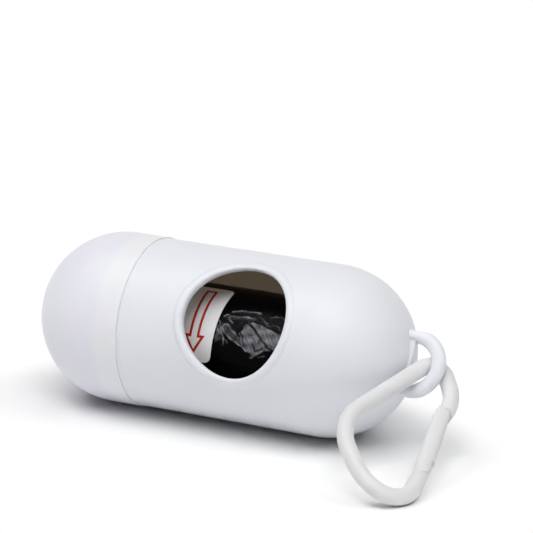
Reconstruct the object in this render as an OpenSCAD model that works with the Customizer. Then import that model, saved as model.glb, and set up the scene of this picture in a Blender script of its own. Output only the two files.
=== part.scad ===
// Dog waste bag dispenser: a capsule with a push-on cap, a roll of bags and a snap clip.
// Millimetres. Origin at the middle of the hole of the end loop, X along the capsule.

/* [View] */
// sub-part to draw, or all

/* [Capsule body] */
// outer radius where the round end begins
body_r = 19.65; // [19.3:0.05:20.2]
// how much smaller the radius is at the seam, for mould draft
body_draft = 0.26; // [0.1:0.01:0.4]
// length from the tip of the round end to the seam
body_len = 64.3; // [63:0.1:68]
// wall of the body round the bag chamber
body_wall = 1.7; // [1.6:0.05:1.85]
// wall of the neck under the cap
neck_wall = 0.75; // [0.65:0.05:0.85]
// length of the neck past the seam
neck_len = 5.7; // [5:0.1:6.5]
// distance of the snap bead from the seam
bead_at = 3; // [2.5:0.1:3.5]
// height of the snap bead above the neck
bead_h = 0.06; // [0.03:0.01:0.07]
// width of the snap bead along the neck
bead_w = 0.8; // [0.5:0.1:1.2]

/* [Dispensing opening] */
// radius of the round opening
opening_r = 12.6; // [12:0.05:12.8]
// distance of the opening's middle from the loop hole
opening_back = 39; // [38:0.1:41]
// angle of the opening's axis above the horizontal
opening_tilt = 31; // [28:0.5:34]
// width of the raised lip round the opening
lip_w = 2.1; // [1.8:0.1:2.3]
// height of the raised lip above the wall
lip_h = 0.5; // [0.3:0.05:0.6]

/* [End loop] */
// radius of the loop's bar
loop_bar_r = 1.4; // [1.3:0.05:1.4]
// radius of the arch along the middle of its bar
arch_r = 6.25; // [6.2:0.05:6.4]
// length of the hole's straight sides before the arch begins
arch_out = 0.45; // [0.3:0.05:0.6]
// thickness of the web between the loop's legs
web_t = 2.2; // [1.8:0.1:2.6]
// distance from the tip of the round end to the flat wall of the hole
loop_base = 0.65; // [0.55:0.05:0.8]

/* [End cap] */
// how far the cap's rim stands proud of the body at the seam
cap_step = 0.25; // [0.1:0.01:0.3]
// how much smaller the cap's round end is than its rim, for mould draft
cap_draft = 0.02; // [0.01:0.01:0.1]
// length of the cap from its rim to its tip
cap_len = 27.6; // [27:0.1:29]
// running clearance between the neck and the cap, on the radius
cap_fit = 0.1; // [0.08:0.01:0.15]
// hairline between the rim and the body's shoulder
rim_gap = 0.06; // [0.04:0.01:0.12]
// depth of the snap groove inside the cap
groove_h = 0.18; // [0.1:0.01:0.3]

/* [Bag roll] */
// outer radius of the wound film
roll_r = 14; // [13:0.1:14]
// length of the roll
roll_len = 57.4; // [52:0.1:57.6]
// distance of the roll's near face from the loop hole
roll_back = 20.6; // [20.5:0.1:21.5]
// outer radius of the core tube
core_r = 5.8; // [5:0.1:6.5]
// wall of the core tube
core_wall = 1; // [0.7:0.1:1.3]
// thickness of the loose end of film on the roll
flap_t = 0.38; // [0.2:0.01:0.38]
// width of the loose end along the roll
flap_w = 21; // [16:0.5:21]
// angle of the loose end round the roll
flap_turn = 92; // [60:1:110]
// thickness of the paper label
label_t = 0.16; // [0.1:0.01:0.3]
// width of the label along the roll
label_w = 11; // [9:0.5:11]
// angle of the label round the roll
label_turn = 82; // [60:1:95]
// distance of the label's near edge from the loop hole
label_back = 46.3; // [46:0.1:48]
// clearance between the turning roll and the chamber wall
roll_fit = 0.25; // [0.2:0.01:0.4]

/* [Snap clip] */
// radius of the clip's bar
clip_bar_r = 1.9; // [1.7:0.05:1.9]
// distance of the spine's corner on the loop side behind the loop hole
clip_back = 5.8; // [5.6:0.1:6]
// length of the spine side
clip_len = 36.9; // [36.5:0.1:37.3]
// half width of the gate bar in the plane of the clip
gate_half_w = 1.95; // [1.8:0.05:1.95]
// half thickness of the gate bar across the plane
gate_half_t = 1.72; // [1.6:0.02:1.75]
// slope of the gate side against the spine
gate_slope = 27; // [26.5:0.5:27.5]
// radius of the hinge pin
pin_r = 0.6; // [0.5:0.05:0.65]
// running clearance between the pin and the frame's tongue, on the radius
pin_fit = 0.06; // [0.04:0.01:0.1]
// hairline between the gate and the frame
gate_gap = 0.1; // [0.08:0.01:0.15]
// radius of the spring's wire
wire_r = 0.18; // [0.15:0.01:0.19]

/* [Hidden] */
$fn = 64;
// clearance of a part laid on another of the same body
lay_gap = 0.02;
// clearance of a pin pressed or sprung into its seat
seat_gap = 0.01;
// how far a cutting tool runs past the face it cuts
over = 1;
seam_r = body_r - body_draft;
chamber_r = body_r - body_wall;
neck_r = chamber_r + neck_wall;
cap_rim_r = seam_r + cap_step;
cap_dome_r = cap_rim_r - cap_draft;
hole_depth = arch_out + arch_r - loop_bar_r;
flat_x = -hole_depth / 2;
arch_x = flat_x + arch_out;
tip_x = flat_x - loop_base;
dome_x = tip_x - body_r;
seam_x = tip_x - body_len;
neck_x = seam_x - neck_len;
cap_tip_x = seam_x - cap_len;
cap_dome_x = cap_tip_x + cap_dome_r;
cap_in_r = neck_r + cap_fit;
bead_x = seam_x - bead_at;
cross_turn = 90 - opening_tilt;
lip_r = opening_r + lip_w;
roll_far_x = -roll_back - roll_len;
flap_in_r = roll_r + lay_gap;
flap_out_r = flap_in_r + flap_t;
roll_z = flap_out_r + roll_fit - chamber_r;
// clear strip between the label and the loose end
label_clear = 0.1;
flap_x = flap_w + label_clear - label_back;
flap_from = 96;
label_from = 85;
leg_len = 5;

// corners of the clip's centre line in its own plane, spine along X, and their radii
foot = [-clip_back, 0];
heel = [clip_len - clip_back, 0];
toe_past = 7;
toe_out = 14.15;
toe = [heel.x + toe_past, toe_out];
crown = [36.3, 25.2];
collar = [0.7, 9.9];
foot_r = 3.3;
heel_r = 12.9;
toe_r = 11.8;
crown_r = 5.8;
collar_r = 10.8;
// how much thinner the straight parts of the bar are than its bends, and how far they run into them
skim = 0.02;
let_in = 0.2;
gate_dir = [cos(gate_slope), sin(gate_slope)];
gate_out = [-sin(gate_slope), cos(gate_slope)];
gate_zero = [10.3, 13.5];
pivot_u = -1.9;
nose_u = 17;
nose_slant = 33;
lip_t = 0.9;
lip_reach = 4.6;
pivot = gate_zero + pivot_u * gate_dir;
// how far the bar runs past the cut at its nose and at its hinge end, and how far it bulges there
nose_spare = 3.5;
collar_spare = 1;
collar_bulge = 0.8;
// distance of the gate's hinge end from the pin along its edge
end_back = 1.65;
nose = gate_zero + (nose_u - nose_spare) * gate_dir;
collar_end = gate_zero + (pivot_u - collar_spare) * gate_dir + collar_bulge * gate_out;
end_r = sqrt(pow(end_back, 2) + pow(gate_half_w, 2));
seat_r = end_r + gate_gap;
slot_half = 0.95;
tongue_low = -slot_half + gate_gap;
tongue_high = 0.33;
tongue_r = 1.25;
coil_n = (tongue_high + slot_half) / 2;
// room between the coil and the pin, and the skin that hides the pin's end
coil_gap = 0.13;
pin_skin = 0.4;
coil_r = pin_r + wire_r + coil_gap;
leg_out = 4.2;
pin_top = gate_half_t - pin_skin;
// where the clip hangs in the loop, and how it lies there
clip_at = [0, 0.38, -0.4];
clip_turn = [-33.26, 8.48, -102.33];

// unit vector
function unit(v) = v / norm(v);
// inner angle at corner b
function corner(a, b, c) = acos(unit(a - b) * unit(c - b));
// distance from corner b to where its bend begins
function setback(a, b, c, r) = r / tan(corner(a, b, c) / 2);
// point where the bend at b meets the side towards a
function bend_end(a, b, c, r) = b + unit(a - b) * setback(a, b, c, r);
// centre of the bend at b
function bend_mid(a, b, c, r) = b + unit(unit(a - b) + unit(c - b)) * r / sin(corner(a, b, c) / 2);

// round bar from a to b in the plane
module bar(a, b, r) {
    d = b - a;
    translate([a.x, a.y, 0]) rotate([0, 0, atan2(d.y, d.x)]) rotate([0, 90, 0]) cylinder(h = norm(d), r = r);
}

// straight part of the clip's bar, a hair thinner than the bends and let into them at both ends
module straight(a, b) {
    d = let_in * unit(b - a);
    bar(a - d, b + d, clip_bar_r - skim);
}

// bent bar round corner b, for a path that runs anticlockwise
module bend(a, b, c, r, bar_r) {
    m = bend_mid(a, b, c, r);
    s = bend_end(a, b, c, r) - m;
    translate([m.x, m.y, 0])
        rotate([0, 0, atan2(s.y, s.x)])
            rotate_extrude(angle = 180 - corner(a, b, c))
                translate([r, 0])
                    circle(r = bar_r);
}

// cylinder along X from x0 to x1
module x_rod(x0, x1, r0, r1) {
    translate([x0, 0, 0]) rotate([0, 90, 0]) cylinder(h = x1 - x0, r1 = r0, r2 = r1);
}

// half ball on the side of x where way is 1 or -1
module half_ball(x, r, way) {
    intersection() {
        translate([x, 0, 0]) sphere(r = r);
        translate([way > 0 ? x : x - 2 * r, -2 * r, -2 * r]) cube([2 * r, 4 * r, 4 * r]);
    }
}

// ring sector round the roll's axis, from angle a0 down by turn degrees towards the opening
module roll_sector(x0, w, r0, r1, a0, turn) {
    translate([x0 - w, 0, roll_z])
        rotate([0, 90, 0])
            rotate([0, 0, 180 - (90 - a0)])
                rotate_extrude(angle = turn)
                    translate([r0, 0])
                        square([r1 - r0, w]);
}

// in the plane of the clip, hung in the loop
module clip_place() {
    translate(clip_at) rotate(clip_turn) children();
}

// along the gate: X runs from the pivot to the nose, Z out of the clip's plane
module gate_place() {
    translate([pivot.x, pivot.y, 0]) rotate([0, 0, gate_slope]) children();
}

module end_loop() {
    rotate([cross_turn, 0, 0]) {
        translate([arch_x, 0, 0])
            rotate([0, 0, -90])
                rotate_extrude(angle = 180)
                    translate([arch_r, 0])
                        circle(r = loop_bar_r);
        for (side = [-1, 1])
            translate([0, side * arch_r, 0])
                x_rod(arch_x - leg_len, arch_x, loop_bar_r, loop_bar_r);
        translate([flat_x - leg_len, -arch_r, -web_t / 2])
            cube([leg_len, 2 * arch_r, web_t]);
    }
}

module body_shell() {
    color([0.9, 0.91, 0.93])
        difference() {
            union() {
                half_ball(dome_x, body_r, 1);
                x_rod(seam_x, dome_x, seam_r, body_r);
                x_rod(neck_x, seam_x, neck_r, neck_r);
                x_rod(bead_x - bead_w / 2, bead_x + bead_w / 2, neck_r + bead_h, neck_r + bead_h);
                intersection() {
                    translate([-opening_back, 0, 0]) rotate([cross_turn, 0, 0]) cylinder(h = 2 * body_r, r = lip_r);
                    x_rod(seam_x, dome_x, body_r + lip_h, body_r + lip_h);
                }
                end_loop();
            }
            half_ball(dome_x, chamber_r, 1);
            x_rod(neck_x - over, dome_x, chamber_r, chamber_r);
            translate([-opening_back, 0, 0]) rotate([cross_turn, 0, 0]) cylinder(h = 2 * body_r, r = opening_r);
        }
}

module end_cap() {
    rim_x = seam_x - rim_gap;
    color([0.88, 0.88, 0.92])
        difference() {
            union() {
                half_ball(cap_dome_x, cap_dome_r, -1);
                x_rod(cap_dome_x, rim_x, cap_dome_r, cap_rim_r);
            }
            half_ball(cap_dome_x, cap_in_r, -1);
            x_rod(cap_dome_x, rim_x + over, cap_in_r, cap_in_r);
            x_rod(bead_x - bead_w, bead_x + bead_w, cap_in_r + groove_h, cap_in_r + groove_h);
        }
}

module core_tube() {
    color([0.7, 0.66, 0.58])
        translate([0, 0, roll_z])
            difference() {
                x_rod(roll_far_x, -roll_back, core_r, core_r);
                x_rod(roll_far_x - over, over - roll_back, core_r - core_wall, core_r - core_wall);
            }
}

module bag_roll() {
    color([0.06, 0.06, 0.065])
        translate([0, 0, roll_z])
            difference() {
                x_rod(roll_far_x, -roll_back, roll_r, roll_r);
                x_rod(roll_far_x - over, over - roll_back, core_r + seat_gap, core_r + seat_gap);
            }
}

module loose_bag_end() {
    color([0.16, 0.16, 0.17])
        roll_sector(flap_x, flap_w, flap_in_r, flap_out_r, flap_from, flap_turn);
}

module roll_label() {
    color([0.72, 0.72, 0.73])
        roll_sector(-label_back, label_w, flap_in_r, flap_in_r + label_t, label_from, label_turn);
}

module carabiner_frame() {
    color([0.93, 0.93, 0.92])
        clip_place()
            difference() {
                union() {
                    difference() {
                        union() {
                            straight(collar_end, bend_end(collar_end, collar, foot, collar_r));
                            bend(collar_end, collar, foot, collar_r, clip_bar_r);
                            straight(bend_end(foot, collar, collar_end, collar_r), bend_end(collar, foot, heel, foot_r));
                            bend(collar, foot, heel, foot_r, clip_bar_r);
                            straight(bend_end(heel, foot, collar, foot_r), bend_end(foot, heel, toe, heel_r));
                            bend(foot, heel, toe, heel_r, clip_bar_r);
                            straight(bend_end(toe, heel, foot, heel_r), bend_end(heel, toe, crown, toe_r));
                            bend(heel, toe, crown, toe_r, clip_bar_r);
                            straight(bend_end(crown, toe, heel, toe_r), bend_end(toe, crown, nose, crown_r));
                            bend(toe, crown, nose, crown_r, clip_bar_r);
                            straight(bend_end(nose, crown, toe, crown_r), nose);
                        }
                        gate_place()
                            translate([0, 0, -2 * clip_bar_r])
                                cylinder(h = 4 * clip_bar_r, r = seat_r);
                        gate_place()
                            nose_cut(0);
                    }
                    gate_place()
                        tongue();
                }
                gate_place()
                    translate([0, 0, -2 * clip_bar_r])
                        cylinder(h = 4 * clip_bar_r, r = pin_r + pin_fit);
            }
}

// room of the gate's free end in the frame's nose, made smaller by gap for the gate itself
module nose_cut(gap) {
    reach = nose_u - pivot_u;
    lip_in = gate_half_w - lip_t;
    big = 6 * clip_bar_r;
    difference() {
        translate([0, -big / 2, -big / 2]) cube([reach + big / 3, big, big]);
        translate([reach - gap, 0, -big])
            rotate([0, 0, nose_slant])
                translate([0, -big, 0])
                    cube([big, 2 * big, 2 * big]);
        translate([reach - lip_reach - gap, lip_in - gap, -big])
            cube([big, big, 2 * big]);
    }
}

// thin plate of the frame that reaches into the gate's slot round the pin
module tongue() {
    run = 2 * end_r - collar_spare;
    translate([0, 0, tongue_low])
        cylinder(h = tongue_high - tongue_low, r = tongue_r);
    translate([-run, -tongue_r, tongue_low])
        cube([run, 2 * tongue_r, tongue_high - tongue_low]);
}

module carabiner_gate() {
    reach = nose_u - pivot_u;
    color([0.92, 0.92, 0.92])
        clip_place()
            gate_place()
                difference() {
                    intersection() {
                        x_rod(-end_r, reach + end_r, gate_half_w, gate_half_w);
                        translate([-2 * end_r, -gate_half_w, -gate_half_t])
                            cube([reach + 4 * end_r, 2 * gate_half_w, 2 * gate_half_t]);
                        union() {
                            translate([0, 0, -gate_half_t]) cylinder(h = 2 * gate_half_t, r = end_r);
                            nose_cut(gate_gap);
                        }
                    }
                    translate([-2 * end_r, -2 * gate_half_w, -slot_half])
                        cube([2 * end_r + tongue_r + gate_gap, 4 * gate_half_w, 2 * slot_half]);
                    translate([0, 0, -2 * gate_half_t])
                        cylinder(h = pin_top + 2 * gate_half_t, r = pin_r + seat_gap);
                    translate([0, coil_r, coil_n])
                        x_rod(0, leg_out + gate_gap, wire_r + seat_gap, wire_r + seat_gap);
                }
}

module gate_pin() {
    color([0.75, 0.76, 0.78])
        clip_place()
            gate_place()
                translate([0, 0, -gate_half_t])
                    cylinder(h = gate_half_t + pin_top - seat_gap, r = pin_r);
}

module gate_spring() {
    color([0.7, 0.71, 0.73])
        clip_place()
            gate_place()
                translate([0, 0, coil_n]) {
                    rotate([0, 0, 90])
                        rotate_extrude(angle = 270)
                            translate([coil_r, 0])
                                circle(r = wire_r);
                    translate([0, coil_r, 0])
                        x_rod(0, leg_out, wire_r, wire_r);
                }
}

body_shell();
end_cap();
core_tube();
bag_roll();
loose_bag_end();
roll_label();
carabiner_frame();
carabiner_gate();
gate_pin();
gate_spring();
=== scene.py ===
import math

import bmesh
import bpy
import numpy as np
from mathutils import Matrix, Vector


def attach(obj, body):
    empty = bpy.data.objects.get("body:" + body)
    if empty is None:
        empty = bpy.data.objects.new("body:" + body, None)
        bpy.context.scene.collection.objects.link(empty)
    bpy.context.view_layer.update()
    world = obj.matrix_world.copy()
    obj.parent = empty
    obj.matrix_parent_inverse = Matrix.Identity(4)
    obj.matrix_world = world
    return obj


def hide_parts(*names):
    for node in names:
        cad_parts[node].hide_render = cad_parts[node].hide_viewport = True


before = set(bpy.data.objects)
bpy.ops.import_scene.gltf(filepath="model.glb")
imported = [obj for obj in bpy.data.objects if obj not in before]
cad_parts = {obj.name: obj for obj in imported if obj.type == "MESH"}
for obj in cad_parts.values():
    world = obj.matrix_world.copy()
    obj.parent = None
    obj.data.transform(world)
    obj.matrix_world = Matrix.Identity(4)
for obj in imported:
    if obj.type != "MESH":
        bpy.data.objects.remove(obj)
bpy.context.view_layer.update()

# ---------------------------------------------------------------- Camera
# A long lens looks from the opening's side, a little above and towards the loop end.
# Right, up and back are the camera's own axes in the frame of the part.
right = Vector((0.88602, 0.46365, 0.0))
up = Vector((-0.14000, 0.26754, 0.95332))
back = Vector((0.44201, -0.84466, 0.30196))
stand = Vector((0.40928, -0.85721, 0.32391))
sensor_width = 36.0
focal_px, picture_px = 4500.0, 533.0
lens_data = bpy.data.cameras.new("view")
lens_data.sensor_width = sensor_width
lens_data.lens = sensor_width * focal_px / picture_px
lens_data.clip_start = 0.01
lens_data.clip_end = 20.0
camera = bpy.data.objects.new("view", lens_data)
camera.matrix_world = Matrix((
    (right.x, up.x, back.x, stand.x),
    (right.y, up.y, back.y, stand.y),
    (right.z, up.z, back.z, stand.z),
    (0.0, 0.0, 0.0, 1.0)))
bpy.context.scene.collection.objects.link(camera)
bpy.context.scene.camera = camera
bpy.context.scene.view_settings.view_transform = "Standard"

# ---------------------------------------------------------------- Table and light
# A sheet of matt white paper lit by large soft lamps, in a white studio that only the camera and
# mirroring surfaces see. One lamp lights all, four the part alone and three the paper alone, so
# that the paper stays white with a soft, deep shadow while the part is lit at a plain level.


def srgb(code, alpha=1.0):
    """sRGB hex code to linear colour."""
    raw = [int(code[i:i + 2], 16) / 255.0 for i in (1, 3, 5)]
    lin = [v / 12.92 if v <= 0.04045 else ((v + 0.055) / 1.055) ** 2.4 for v in raw]
    return (*lin, alpha)


def add(owner, kind, settings=None, **links):
    """Adds a node to a material or node group, sets its properties and sockets, links its inputs."""
    tree = getattr(owner, "node_tree", owner)
    node = tree.nodes.new(kind)
    for name, value in (settings or {}).items():
        if isinstance(name, str) and hasattr(node, name) and name not in node.inputs:
            setattr(node, name, value)
        else:
            node.inputs[name].default_value = value
    for name, source in links.items():
        key = int(name[1:]) if name[0] == "_" and name[1:].isdigit() else name.replace("_", " ")
        tree.links.new(source, node.inputs[key])
    return node


def new_material(name):
    """An empty node material."""
    m = bpy.data.materials.new(name)
    m.use_nodes = True
    m.node_tree.nodes.clear()
    return m


floor_z, paper_half = -0.01965, 4.0
paper = new_material("matt_white_paper")
shade = add(paper, "ShaderNodeBsdfDiffuse", {"Color": srgb("#fbfbfb")})
add(paper, "ShaderNodeOutputMaterial", Surface=shade.outputs[0])

sheet_mesh = bpy.data.meshes.new("paper_sheet")
paper_corners = [(paper_half * x, paper_half * y, floor_z) for x, y in ((-1, -1), (1, -1), (1, 1), (-1, 1))]
sheet_mesh.from_pydata(paper_corners, [], [(0, 1, 2, 3)])
floor = bpy.data.objects.new("paper_sheet", sheet_mesh)
floor.data.materials.append(paper)
bpy.context.scene.collection.objects.link(floor)

world = bpy.data.worlds.new("studio")
bpy.context.scene.world = world
world.use_nodes = True
room = world.node_tree.nodes["Background"]
room.inputs["Color"].default_value = (1, 1, 1, 1)
room.inputs["Strength"].default_value = 0.02
behind = add(world, "ShaderNodeBackground", {"Color": (1, 1, 1, 1), "Strength": 1.0})
eye = add(world, "ShaderNodeLightPath")
mirrored = add(world, "ShaderNodeMath", {"operation": "ADD"}, _0=eye.outputs["Is Glossy Ray"],
               _1=eye.outputs["Is Transmission Ray"])
seen = add(world, "ShaderNodeMath", {"operation": "ADD", "use_clamp": True}, _0=eye.outputs["Is Camera Ray"],
           _1=mirrored.outputs[0])
pick = add(world, "ShaderNodeMixShader", {}, _0=seen.outputs[0], _1=room.outputs[0], _2=behind.outputs[0])
world.node_tree.links.new(pick.outputs[0], world.node_tree.nodes["World Output"].inputs["Surface"])


def soft_sun(name, towards, angle, strength):
    """A far lamp that shines along a direction, with the soft edge of a large softbox."""
    data = bpy.data.lights.new(name, "SUN")
    data.angle = math.radians(angle)
    data.energy = strength
    lamp = bpy.data.objects.new(name, data)
    lamp.rotation_euler = Vector(towards).to_track_quat("-Z", "Y").to_euler()
    bpy.context.scene.collection.objects.link(lamp)
    return lamp


wide, narrow = 40.0, 36.0  # lamp angles in degrees
soft_sun("key_right", (-0.211, 0.366, -0.906), wide, 1.53)
off_paper = bpy.data.collections.new("off_the_paper")
off_paper.objects.link(floor)
off_paper.collection_objects[0].light_linking.link_state = "EXCLUDE"
for lamp in (soft_sun("key_left", (0.39, 0.16, -0.906), wide, 1.06),
             soft_sun("top", (0.0, -0.1, -0.995), wide, 0.14),
             soft_sun("front_low", (0.13, 0.778, -0.616), wide, 0.2),
             soft_sun("side_low", (-0.87, 0.05, -0.49), wide, 0.5)):
    lamp.light_linking.receiver_collection = off_paper
on_paper = bpy.data.collections.new("on_the_paper")
on_paper.objects.link(floor)
for lamp in (soft_sun("ground_left", (0.48, 0.14, -0.866), narrow, 1.0),
             soft_sun("ground_right", (-0.56, -0.2, -0.804), narrow, 0.8),
             soft_sun("ground_back", (0.05, -0.5, -0.865), narrow, 0.4)):
    lamp.light_linking.receiver_collection = on_paper

# ---------------------------------------------------------------- Capsule body
# One moulding in white polypropylene, 1.7 mm thick, satin from a fine-textured mould: tube, round
# end, neck with its snap bead, ridged lip of the opening, and loop. Inside it is given a browner,
# darker tone as painted shade, and a very weak painted glow in place of the light that comes
# through the wall.

mm = 0.001
tilt = math.radians(31.0)
out_dir = np.array([0.0, -math.cos(tilt), math.sin(tilt)])
side_dir = np.array([0.0, math.sin(tilt), math.cos(tilt)])


def strip(points, wrap=False):
    """Quads between equal rows of points; wrap joins the end of each row to its start."""
    points = np.asarray(points, float)
    n, m = points.shape[:2]
    cells = [(i, j, i + 1, (j + 1) % m) for i in range(n - 1) for j in range(m if wrap else m - 1)]
    return points.reshape(-1, 3), [(a * m + b, a * m + d, c * m + d, c * m + b) for a, b, c, d in cells]


def build(name, parts, material, sharp=38.0, weld=0.002):
    """A mesh object from parts in millimetres: welded, closed, faces outward, smooth but for its edges."""
    verts, faces = [], []
    for points, cells in parts:
        base = len(verts)
        verts.extend(map(tuple, np.asarray(points) * mm))
        faces.extend(tuple(base + k for k in cell) for cell in cells)
    mesh = bpy.data.meshes.new(name)
    mesh.from_pydata(verts, [], faces)
    bm = bmesh.new()
    bm.from_mesh(mesh)
    bmesh.ops.remove_doubles(bm, verts=bm.verts, dist=weld * mm)
    bmesh.ops.dissolve_degenerate(bm, edges=bm.edges, dist=0.0005 * mm)
    bmesh.ops.recalc_face_normals(bm, faces=bm.faces)
    bm.to_mesh(mesh)
    bm.free()
    return finish_piece(name, mesh, material, sharp)


def finish_piece(name, mesh, material, sharp=38.0):
    """Links a plain mesh as an object with one material and smooth shading."""
    mesh.shade_smooth()
    mesh.set_sharp_from_angle(angle=math.radians(sharp))
    mesh.materials.clear()
    mesh.materials.append(material)
    piece = bpy.data.objects.new(name, mesh)
    bpy.context.scene.collection.objects.link(piece)
    return piece


def moulded(name, colour, rough):
    """Moulded plastic: satin skin with the mould's fine texture and slight flow shading."""
    m = new_material(name)
    at = add(m, "ShaderNodeTexCoord")
    fine = add(m, "ShaderNodeTexNoise", {"Scale": 2600.0, "Detail": 3.0, "Roughness": 0.55},
               Vector=at.outputs["Object"])
    broad = add(m, "ShaderNodeTexNoise", {"Scale": 55.0, "Detail": 2.0}, Vector=at.outputs["Object"])
    light, dark = srgb(colour), [c * 0.965 for c in srgb(colour)[:3]] + [1.0]
    tone = add(m, "ShaderNodeMix", {"data_type": "RGBA", 6: dark, 7: light}, Factor=broad.outputs["Fac"])
    sheen = add(m, "ShaderNodeMapRange", {"To Min": rough - 0.05, "To Max": rough + 0.06},
                Value=broad.outputs["Fac"])
    bump = add(m, "ShaderNodeBump", {"Strength": 0.35, "Distance": 0.00002}, Height=fine.outputs["Fac"])
    skin = add(m, "ShaderNodeBsdfPrincipled",
               {"IOR": 1.49, "Specular IOR Level": 0.35, "Subsurface Weight": 0.35,
                "Subsurface Scale": 0.0012, "Subsurface Radius": (1.0, 1.0, 1.0)},
               Base_Color=tone.outputs[2], Roughness=sheen.outputs[0], Normal=bump.outputs[0])
    add(m, "ShaderNodeOutputMaterial", Surface=skin.outputs[0])
    return m


body_r, seam_r, chamber_r, neck_r = 19.65, 19.39, 17.95, 18.7
dome_x, seam_x, neck_x, glow_x = -22.95, -67.6, -73.3, -70.0
hole_x, gap_x, gap_turn = -39.0, (-58.0, dome_x), 74.0


def outer_radius(x):
    """Radius of the outside at x, with the mould's draft."""
    return body_r + (seam_r - body_r) * (dome_x - x) / (dome_x - seam_x)


def round_point(x, r, turn):
    """Point at x and radius r, turned from the opening's direction; turn in degrees."""
    a = np.radians(turn)
    return np.stack([x + 0 * r * a, r * (np.cos(a) * out_dir[1] + np.sin(a) * side_dir[1]),
                     r * (np.cos(a) * out_dir[2] + np.sin(a) * side_dir[2])], -1)


gap_lines = np.linspace(gap_x[1], gap_x[0], 37)
dome_turns = np.radians(np.linspace(0.0, 90.0, 30))[:-1]
outer = [(dome_x + body_r * math.cos(a), body_r * math.sin(a)) for a in dome_turns]
inner = [(dome_x + chamber_r * math.cos(a), chamber_r * math.sin(a)) for a in dome_turns]
bead_x, bead_half, bead_h = seam_x - 3.0, 0.4, 0.06
bead_steps = (0.4, 0.2, 0.0, -0.2, -0.4)


def rounded_edge(x, r, rounding, steps, facing=-1):
    """The round of an outer edge at x and radius r, from the outside inward; facing is its end's side."""
    return [(x + facing * (rounding * math.sin(a) - rounding), r - rounding + rounding * math.cos(a))
            for a in np.linspace(0, math.pi / 2, steps)]


shoulder = rounded_edge(seam_x, seam_r, 0.04, 6)
bead = [(bead_x + d, neck_r + bead_h * math.cos(d / bead_half * math.pi / 2)) for d in bead_steps]
neck_end = rounded_edge(neck_x, neck_r, 0.2, 5) + [(neck_x, chamber_r + 0.12), (neck_x + 0.12, chamber_r)]
profile = (outer + [(x, float(outer_radius(x))) for x in gap_lines]
           + [(x, float(outer_radius(x))) for x in np.linspace(-58.9, -67.2, 10)]
           + shoulder + [(seam_x, neck_r + 0.1), (seam_x - 0.1, neck_r)] + bead + neck_end
           + [(x, chamber_r) for x in np.linspace(-72.6, -58.9, 12)]
           + [(x, chamber_r) for x in gap_lines[::-1]] + inner[::-1])
turns = np.arange(-180.0, 180.0, 2.0)
stations = np.array(profile)
shell = round_point(stations[:, :1], stations[:, 1:], turns[None, :])
points, cells = strip(shell, wrap=True)
columns = len(turns)


def in_gap(cell):
    """True for a cell of the shell that the patch round the opening takes the place of."""
    i = cell[0] // columns
    x, r = (stations[i] + stations[i + 1]) / 2
    turn = turns[cell[0] % columns] + 1.0
    on_wall = r > neck_r + 0.3 or abs(r - chamber_r) < 0.01
    return gap_x[0] < x < gap_x[1] and abs(turn) < gap_turn and on_wall


cells = [c for c in cells if not in_gap(c)]

edge_turns = np.arange(-gap_turn, gap_turn + 1, 2.0)
rim = np.array([(x, -gap_turn) for x in gap_lines[::-1][:-1]] + [(gap_x[1], t) for t in edge_turns[:-1]]
               + [(x, gap_turn) for x in gap_lines[:-1]] + [(gap_x[0], t) for t in edge_turns[::-1][:-1]])
bearing = np.arctan2(body_r * np.sin(np.radians(rim[:, 1])), rim[:, 0] - hole_x)


def ring(rho, height, base):
    """Row round the opening at distance rho from its axis, raised by height above the wall's surface."""
    x = hole_x + rho * np.cos(bearing)
    across = rho * np.sin(bearing)
    r = (outer_radius(x) if base == "outer" else chamber_r) + height
    turn = np.degrees(np.arcsin(across / r))
    return round_point(x, r, turn), x, turn


def spread(rho, base, steps):
    """Rows from the ring at rho out to the edge of the gap, along the wall's surface."""
    _, x0, t0 = ring(rho, 0.0, base)
    rows_out = []
    for k in steps:
        x = x0 + (rim[:, 0] - x0) * k
        t = t0 + (rim[:, 1] - t0) * k
        rows_out.append(round_point(x, outer_radius(x) if base == "outer" else chamber_r + 0 * x, t))
    return rows_out


# The lip's own line, from its foot on the outside over its crest into the bore: radius, height.
lip = [(14.9, 0.0), (14.76, 0.03), (14.67, 0.1), (14.6, 0.2), (14.5, 0.31), (14.36, 0.4),
       (14.18, 0.46), (13.95, 0.485), (13.7, 0.48), (13.45, 0.44), (13.22, 0.36), (13.02, 0.24),
       (12.85, 0.08), (12.72, -0.12), (12.64, -0.35), (12.6, -0.6), (12.6, -0.95), (12.6, -1.25)]
under = [(12.62, 0.25), (12.68, 0.1), (12.8, 0.0)]
patch = (spread(15.2, "outer", (1.0, 0.8, 0.6, 0.4, 0.2, 0.0)) + [ring(r, h, "outer")[0] for r, h in lip]
         + [ring(r, h, "inner")[0] for r, h in under] + spread(13.0, "inner", (0.0, 0.2, 0.4, 0.6, 0.8, 1.0)))

body_plastic = moulded("moulded_polypropylene_white", "#e8eaef", 0.42)
capsule = build("capsule_body", [(points, cells), strip(patch, wrap=True)], body_plastic)
# Painted shade and painted glow: the inner wall gets a darker, browner colour for the shaded chamber, and a
# weak emission for the light that comes through the wall.
inside_painted_shade_plastic = moulded("moulded_polypropylene_inside", "#b3a594", 0.5)
painted_glow_skin = next(n for n in inside_painted_shade_plastic.node_tree.nodes if n.type == "BSDF_PRINCIPLED")
painted_glow_skin.inputs["Emission Color"].default_value = srgb("#d9c3aa")
painted_glow_skin.inputs["Emission Strength"].default_value = 0.085
capsule.data.materials.append(inside_painted_shade_plastic)
# Faces of the deep inner wall that face inward get the painted shade and glow.
for face in capsule.data.polygons:
    deep = math.hypot(face.center.y, face.center.z) < (chamber_r + 0.03) * mm
    inward = face.center.y * face.normal.y + face.center.z * face.normal.z < 0.0
    if deep and inward and face.center.x > glow_x * mm:
        face.material_index = 1
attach(capsule, "body")
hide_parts("body_shell")

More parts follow.
